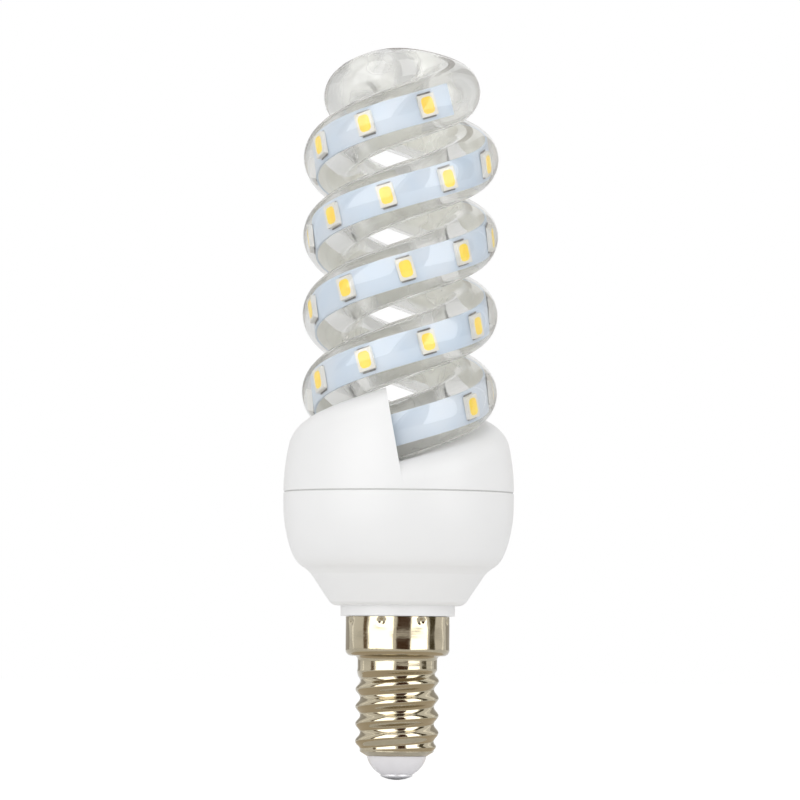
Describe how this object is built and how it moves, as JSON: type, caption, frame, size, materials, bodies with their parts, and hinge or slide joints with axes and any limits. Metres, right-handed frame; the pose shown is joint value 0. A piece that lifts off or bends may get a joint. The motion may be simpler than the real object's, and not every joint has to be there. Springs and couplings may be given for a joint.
{
  "type": "spiral led bulb",
  "caption": "Retrofit lamp with a clear double-helix tube that carries LED strips, on a white two-part housing with a small screw cap.",
  "frame": {"origin": "tip of the centre contact, on the lamp's axis", "axes": "+Z along the lamp's axis from the cap to the top of the spiral; -Y is the side seen in the picture, +X its right"},
  "size_m": [0.0376, 0.0376, 0.1198],
  "materials": {
    "contact": "tinned solder dome",
    "insulator": "white moulded insulator",
    "nickel": "nickel-plated pressed sheet",
    "white_plastic": "satin white moulding",
    "clear_tube": "clear extruded tube",
    "solder_mask": "pale blue-white solder mask",
    "led_package": "cream white LED package",
    "phosphor": "yellow phosphor",
    "silicone": "white silicone",
    "board": "green glass-fibre laminate",
    "ferrite": "ferrite",
    "copper": "enamelled copper wire",
    "can_sleeve": "dark sleeve on an aluminium can",
    "film_case": "epoxy-filled case",
    "resistor_coat": "flameproof coating",
    "chip_black": "moulded epoxy",
    "wire_brown": "brown insulation",
    "wire_blue": "blue insulation",
    "wire_red": "red insulation",
    "wire_black": "black insulation"
  },
  "bodies": {
    "root": {"centre_contact": "contact", "cap_insulator": "insulator", "screw_shell": "nickel", "lower_housing": "white_plastic", "upper_housing": "white_plastic", "spiral_tube": "clear_tube", "led_strip_a": "solder_mask", "led_strip_b": "solder_mask", "led_packages_a": "led_package", "led_packages_b": "led_package", "led_windows_a": "phosphor", "led_windows_b": "phosphor", "tube_adhesive": "silicone", "driver_board": "board", "choke_core": "ferrite", "choke_winding": "copper", "input_capacitor": "can_sleeve", "output_capacitor": "can_sleeve", "film_capacitor": "film_case", "fuse_resistor": "resistor_coat", "bridge_rectifier": "chip_black", "driver_chip": "chip_black", "chip_resistors": "chip_black", "live_wire": "wire_brown", "neutral_wire": "wire_blue", "strip_leads_positive": "wire_red", "strip_leads_negative": "wire_black"}
  },
  "joints": []
}
